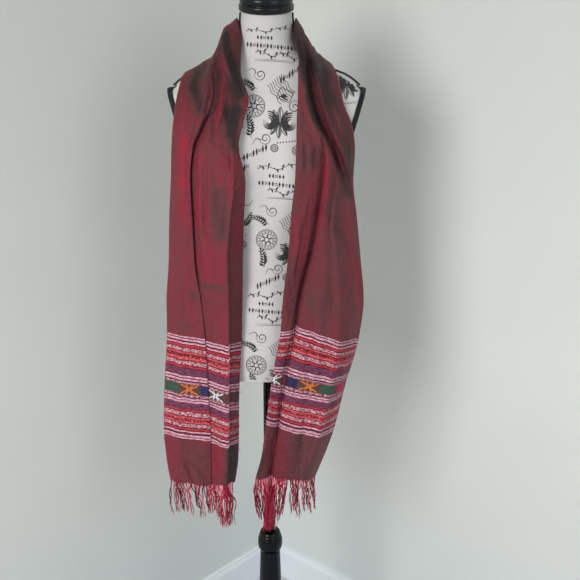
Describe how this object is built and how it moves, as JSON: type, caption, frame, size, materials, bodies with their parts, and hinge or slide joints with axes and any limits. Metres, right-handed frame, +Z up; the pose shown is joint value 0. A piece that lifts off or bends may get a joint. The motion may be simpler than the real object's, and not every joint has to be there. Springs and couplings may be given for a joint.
{
  "type": "fringed scarf draped on a limbless dress form with a stand",
  "caption": "Long handwoven scarf with striped, figured end bands and knotless fringe, hung round the neck of a limbless dress form on a round-based pole stand.",
  "frame": {"origin": "centre of the round base's underside, where the pole's axis meets the floor", "axes": "+Z up along the pole, -Y towards the front of the form, +X towards the viewer's right"},
  "size_m": [0.44, 0.44, 1.6575],
  "materials": {
    "stand_black": "black gloss lacquer",
    "form_cover": "tight off-white jersey with a sparse black print",
    "form_black": "gloss",
    "form_piping": "corded black piping",
    "scarf_cloth": "plain weave in crimson and dark olive, shot, with woven stripes",
    "scarf_fringe": "loose thread ends"
  },
  "bodies": {
    "root": {"stand_base": "stand_black", "stand_column": "stand_black", "stand_pole": "stand_black", "form_torso": "form_cover", "form_neck_cap": "form_black", "form_arm_plate_left": "form_black", "form_arm_plate_right": "form_black", "form_seam_piping_left": "form_piping", "form_seam_piping_right": "form_piping", "form_side_piping_left": "form_piping", "form_side_piping_right": "form_piping", "scarf_left_front": "scarf_cloth", "scarf_right_front": "scarf_cloth", "scarf_neck_back": "scarf_cloth", "fringe_left": "scarf_fringe", "fringe_right": "scarf_fringe"}
  },
  "joints": []
}
